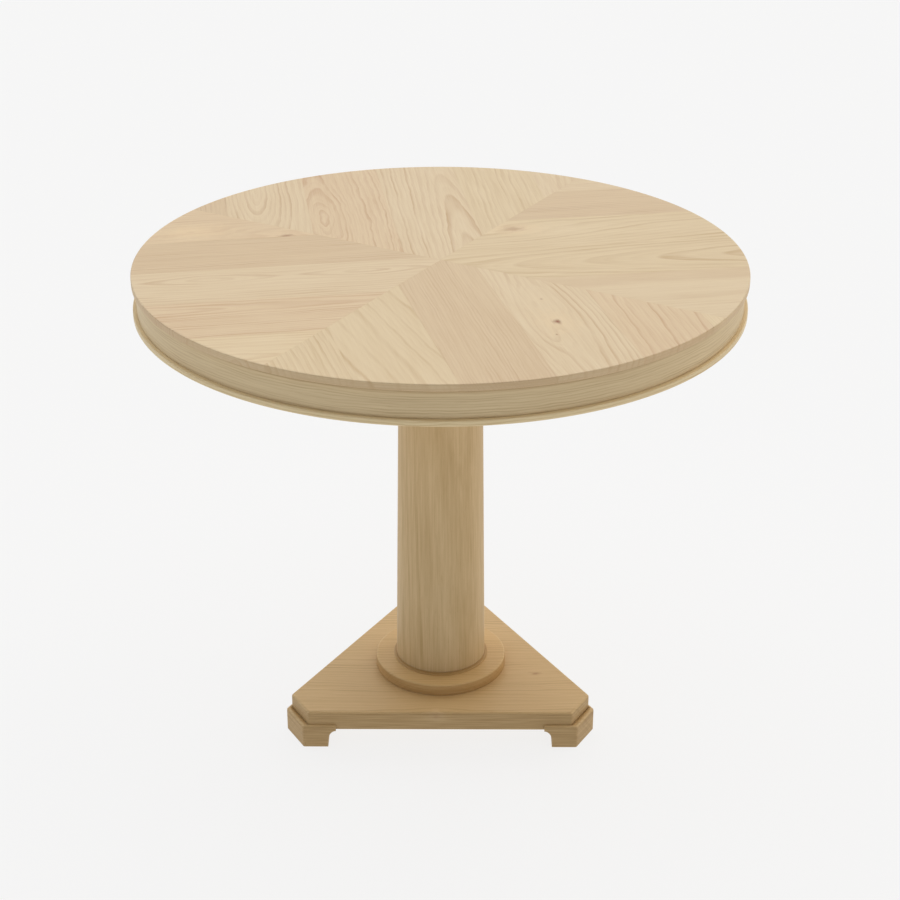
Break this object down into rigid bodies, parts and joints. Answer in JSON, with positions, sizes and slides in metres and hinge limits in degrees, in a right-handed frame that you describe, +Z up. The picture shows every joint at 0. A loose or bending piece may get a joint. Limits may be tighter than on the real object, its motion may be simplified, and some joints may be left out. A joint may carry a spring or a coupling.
{
  "type": "dolls house pedestal dining table",
  "caption": "Miniature round dining table in pale wood: leaf-laid top with a banded edge, turned column, collar and a three-cornered plinth on bracket feet.",
  "frame": {"origin": "on the floor under the middle of the column", "axes": "+Z up through the column to the tabletop; -Y is the front, the side that a long side of the plinth faces; +X is to the right seen from the front"},
  "size_m": [0.0762, 0.0762, 0.0635],
  "materials": {
    "top_leaf": "matt, clear sealed, open fine grain",
    "band_wood": "matt, clear sealed, grain running round the edge",
    "column_wood": "matt, clear sealed, turned",
    "base_wood": "matt, clear sealed",
    "core_ply": "raw birch ply",
    "block_wood": "raw hardwood",
    "dowel_wood": "raw turned dowel",
    "brass_pin": "plain drawn brass"
  },
  "bodies": {
    "root": {"leaf_front_1": "top_leaf", "leaf_front_2": "top_leaf", "leaf_front_3": "top_leaf", "leaf_front_4": "top_leaf", "leaf_front_5": "top_leaf", "leaf_front_6": "top_leaf", "leaf_right_1": "top_leaf", "leaf_right_2": "top_leaf", "leaf_right_3": "top_leaf", "leaf_right_4": "top_leaf", "leaf_right_5": "top_leaf", "leaf_right_6": "top_leaf", "leaf_back_1": "top_leaf", "leaf_back_2": "top_leaf", "leaf_back_3": "top_leaf", "leaf_back_4": "top_leaf", "leaf_back_5": "top_leaf", "leaf_back_6": "top_leaf", "leaf_left_1": "top_leaf", "leaf_left_2": "top_leaf", "leaf_left_3": "top_leaf", "leaf_left_4": "top_leaf", "leaf_left_5": "top_leaf", "top_core": "core_ply", "apron_core": "core_ply", "apron_facing": "band_wood", "bead_ring": "band_wood", "column_block": "block_wood", "bearer_front": "block_wood", "bearer_back": "block_wood", "block_dowels": "dowel_wood", "bearer_pins": "brass_pin", "column": "column_wood", "collar": "base_wood", "plinth": "base_wood", "foot_left": "base_wood", "foot_right": "base_wood", "foot_back": "base_wood", "foot_dowels": "dowel_wood"}
  },
  "joints": []
}
